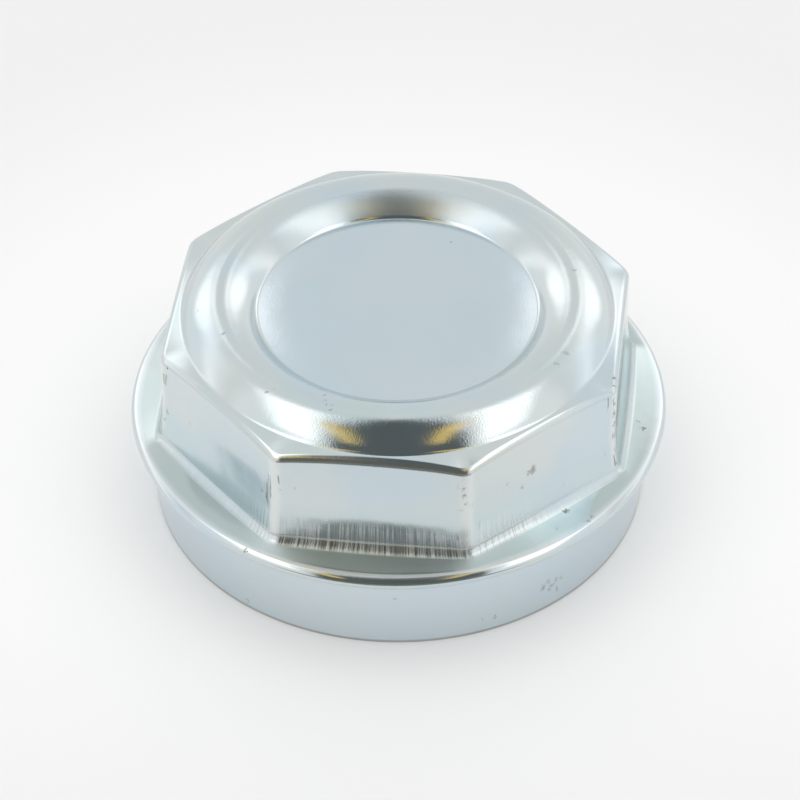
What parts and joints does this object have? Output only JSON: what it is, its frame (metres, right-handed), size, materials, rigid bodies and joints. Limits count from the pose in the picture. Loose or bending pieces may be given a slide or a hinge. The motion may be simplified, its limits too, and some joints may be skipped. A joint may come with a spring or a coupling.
{
  "type": "center cap",
  "caption": "Pressed steel center cap for a wheel hub: a round skirt that presses into the hub, a folded rim, a drafted octagonal crown for a spanner, and a domed ring round a flat centre.",
  "frame": {"origin": "centre of the skirt's open edge", "axes": "+Z along the cap's axis, from the open edge to the crown; one crown flat faces -Y"},
  "size_m": [0.1086, 0.1086, 0.0479],
  "materials": {
    "zinc_steel": "bright zinc plate, passivated blue-white, with fine drawing marks on the walls"
  },
  "bodies": {
    "root": {"cap_shell": "zinc_steel"}
  },
  "joints": []
}
